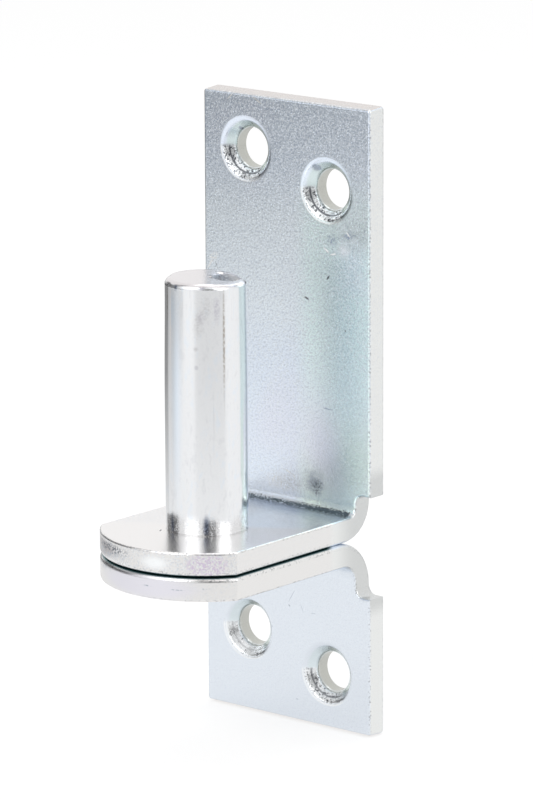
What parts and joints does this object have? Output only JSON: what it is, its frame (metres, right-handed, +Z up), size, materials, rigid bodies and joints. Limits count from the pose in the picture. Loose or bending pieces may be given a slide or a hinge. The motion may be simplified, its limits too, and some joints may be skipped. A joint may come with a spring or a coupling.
{
  "type": "plate-mounted pintle",
  "caption": "Zinc-plated hook on plate: a riveted hinge pin standing on two bent steel sheets with countersunk screw holes.",
  "frame": {"origin": "on the pin's axis, where the pin stands on the upper tongue's top face", "axes": "+Z up along the pin, +Y towards the wall that the plates are screwed to, +X to the right seen from the front"},
  "size_m": [0.035, 0.0413, 0.1041],
  "materials": {
    "plate_zinc": "bright blue zinc plating over pressed sheet steel, fine grained",
    "pin_zinc": "bright zinc plating over drawn steel, with soft lengthwise streaks"
  },
  "bodies": {
    "root": {"upper_plate": "plate_zinc", "lower_plate": "plate_zinc", "pintle_pin": "pin_zinc"}
  },
  "joints": []
}
